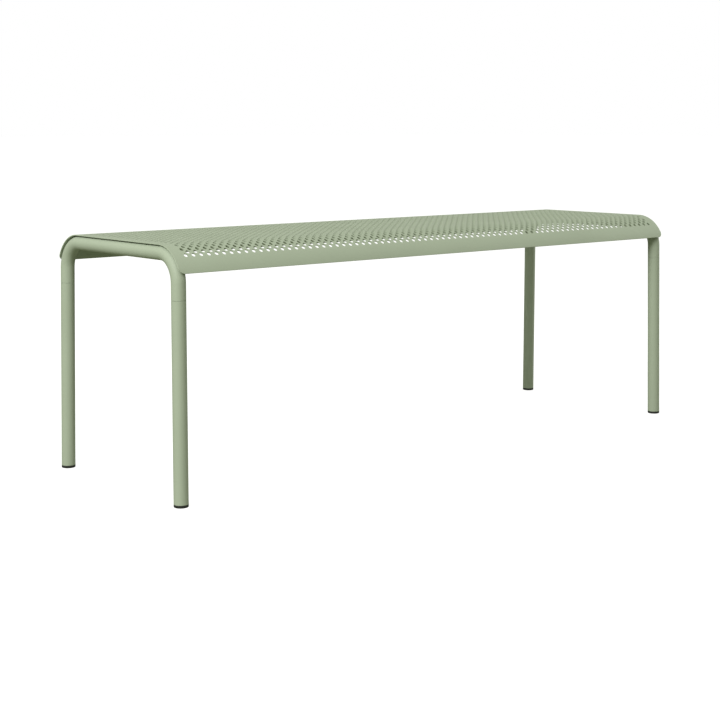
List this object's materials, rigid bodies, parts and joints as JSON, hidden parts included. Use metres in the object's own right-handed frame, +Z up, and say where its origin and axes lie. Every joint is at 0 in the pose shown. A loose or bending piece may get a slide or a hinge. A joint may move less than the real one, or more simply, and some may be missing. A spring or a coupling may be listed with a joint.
{
  "type": "backless bench",
  "caption": "Long backless bench: a perforated sheet seat with rolled-down long edges on slim round-tube legs with black glides.",
  "frame": {"origin": "on the floor, under the middle of the seat", "axes": "+X along the bench, +Y to its back, +Z up"},
  "size_m": [1.3076, 0.4176, 0.45],
  "materials": {
    "powder_coat": "matt sage-green powder coat with a fine texture",
    "zinc_steel": "bright zinc plate",
    "black_plastic": "matt moulded plastic"
  },
  "bodies": {
    "root": {"seat_panel": "powder_coat", "end_frame_left": "powder_coat", "end_frame_right": "powder_coat", "seat_welds_left": "powder_coat", "seat_welds_right": "powder_coat", "leg_insert_front_left": "zinc_steel", "leg_insert_front_right": "zinc_steel", "leg_insert_back_left": "zinc_steel", "leg_insert_back_right": "zinc_steel", "leg_stud_front_left": "zinc_steel", "leg_stud_front_right": "zinc_steel", "leg_stud_back_left": "zinc_steel", "leg_stud_back_right": "zinc_steel", "leg_plug_front_left": "zinc_steel", "leg_plug_front_right": "zinc_steel", "leg_plug_back_left": "zinc_steel", "leg_plug_back_right": "zinc_steel", "lower_leg_front_left": "powder_coat", "lower_leg_front_right": "powder_coat", "lower_leg_back_left": "powder_coat", "lower_leg_back_right": "powder_coat", "glide_front_left": "black_plastic", "glide_front_right": "black_plastic", "glide_back_left": "black_plastic", "glide_back_right": "black_plastic"}
  },
  "joints": []
}
